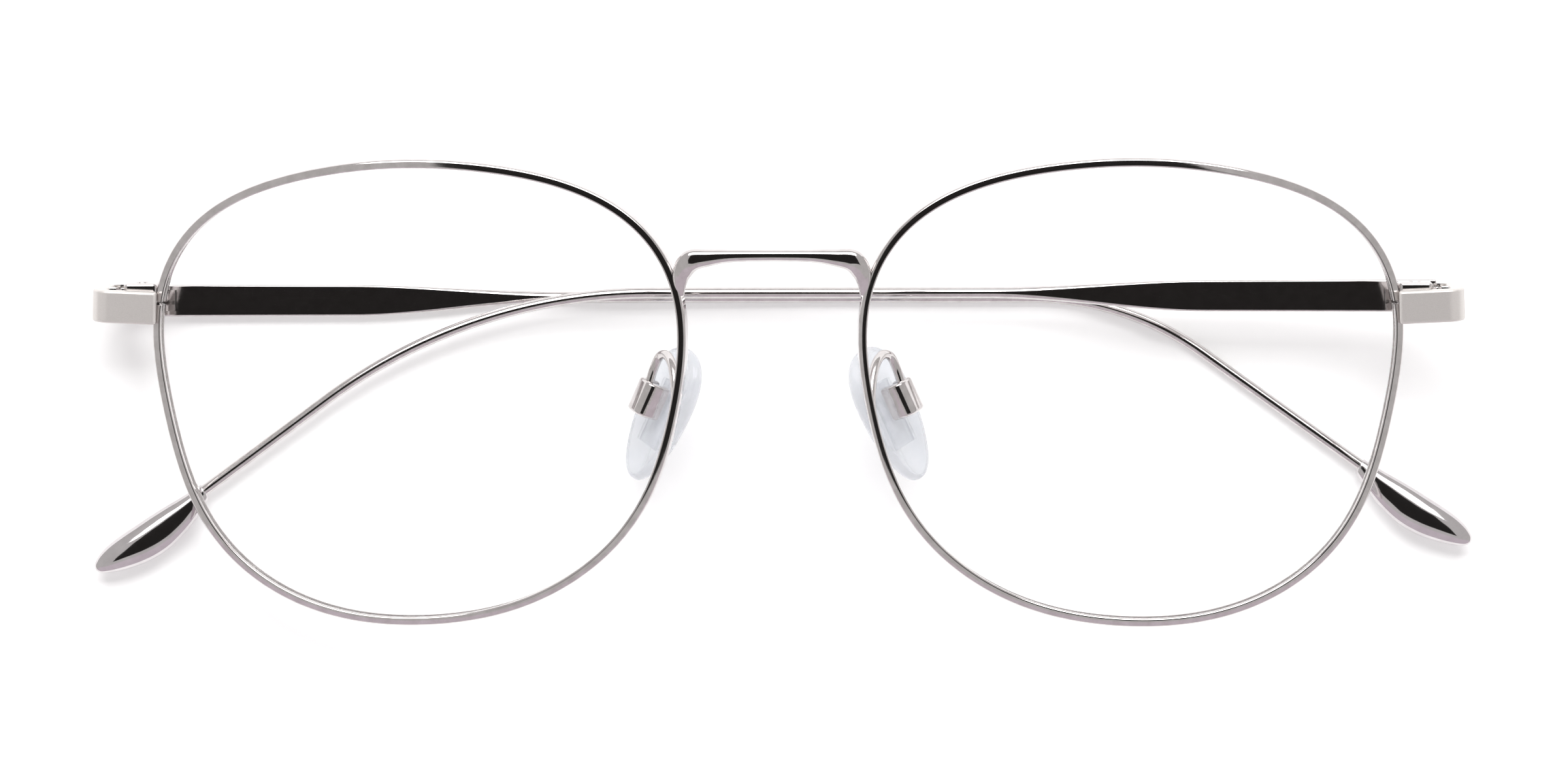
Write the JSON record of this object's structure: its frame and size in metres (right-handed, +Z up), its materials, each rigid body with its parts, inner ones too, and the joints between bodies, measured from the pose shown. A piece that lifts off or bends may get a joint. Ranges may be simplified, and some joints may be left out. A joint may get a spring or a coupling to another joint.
{
  "type": "eyeglasses",
  "caption": "Round full-rim wire eyeglasses with clear lenses, rocking nose pads and folding temples, folded and resting on their temples.",
  "frame": {"origin": "on the surface the folded glasses lie on, under the middle of their bounding box", "axes": "+X to the wearer's left, along the front; +Y up the face; +Z up from the surface, out of the front of the lenses"},
  "size_m": [0.1432, 0.0477, 0.0182],
  "materials": {
    "polished_metal": "polished silver-coloured metal",
    "satin_metal": "satin brushed",
    "tip_metal": "polished",
    "screw_steel": "plain steel",
    "clear_lens": "clear, polished",
    "clear_silicone": "clear soft silicone",
    "insert_plastic": "clear hard plastic"
  },
  "bodies": {
    "temple_right": {"temple_right": "polished_metal", "tip_right": "tip_metal", "temple_hinge_right": "polished_metal"},
    "front": {"rim_right": "polished_metal", "rim_left": "polished_metal", "lens_right": "clear_lens", "lens_left": "clear_lens", "bridge": "polished_metal", "endpiece_right": "satin_metal", "endpiece_left": "satin_metal", "rim_lock_upper_right": "polished_metal", "rim_lock_upper_left": "polished_metal", "rim_lock_lower_right": "polished_metal", "rim_lock_lower_left": "polished_metal", "rim_screw_right": "screw_steel", "rim_screw_left": "screw_steel", "hinge_front_right": "polished_metal", "hinge_front_left": "polished_metal", "hinge_screw_right": "screw_steel", "hinge_screw_left": "screw_steel", "pad_arm_right": "polished_metal", "pad_arm_left": "polished_metal", "pad_box_right": "polished_metal", "pad_box_left": "polished_metal", "pad_screw_right": "screw_steel", "pad_screw_left": "screw_steel"},
    "temple_left": {"temple_left": "polished_metal", "tip_left": "tip_metal", "temple_hinge_left": "polished_metal"},
    "pad_right": {"nose_pad_right": "clear_silicone", "pad_insert_right": "insert_plastic"},
    "pad_left": {"nose_pad_left": "clear_silicone", "pad_insert_left": "insert_plastic"}
  },
  "joints": [
    {"name": "right_temple_hinge", "type": "hinge", "parent": "temple_right", "child": "front", "pos_m": [-0.06861, 0.00959, 0.0023], "axis": [0, -1, 0], "range_deg": [0, 90.5]},
    {"name": "left_temple_hinge", "type": "hinge", "parent": "front", "child": "temple_left", "pos_m": [0.06726, 0.00959, 0.00823], "axis": [0, -1, 0], "range_deg": [0, 93]},
    {"name": "right_pad_rock", "type": "hinge", "parent": "front", "child": "pad_right", "pos_m": [-0.01367, -0.00063, 0.00718], "axis": [0.5294, -0.3576, 0.7693], "range_deg": [-10, 10]},
    {"name": "left_pad_rock", "type": "hinge", "parent": "front", "child": "pad_left", "pos_m": [0.01211, -0.00063, 0.00831], "axis": [-0.5944, -0.3576, 0.7202], "range_deg": [-10, 10]}
  ]
}
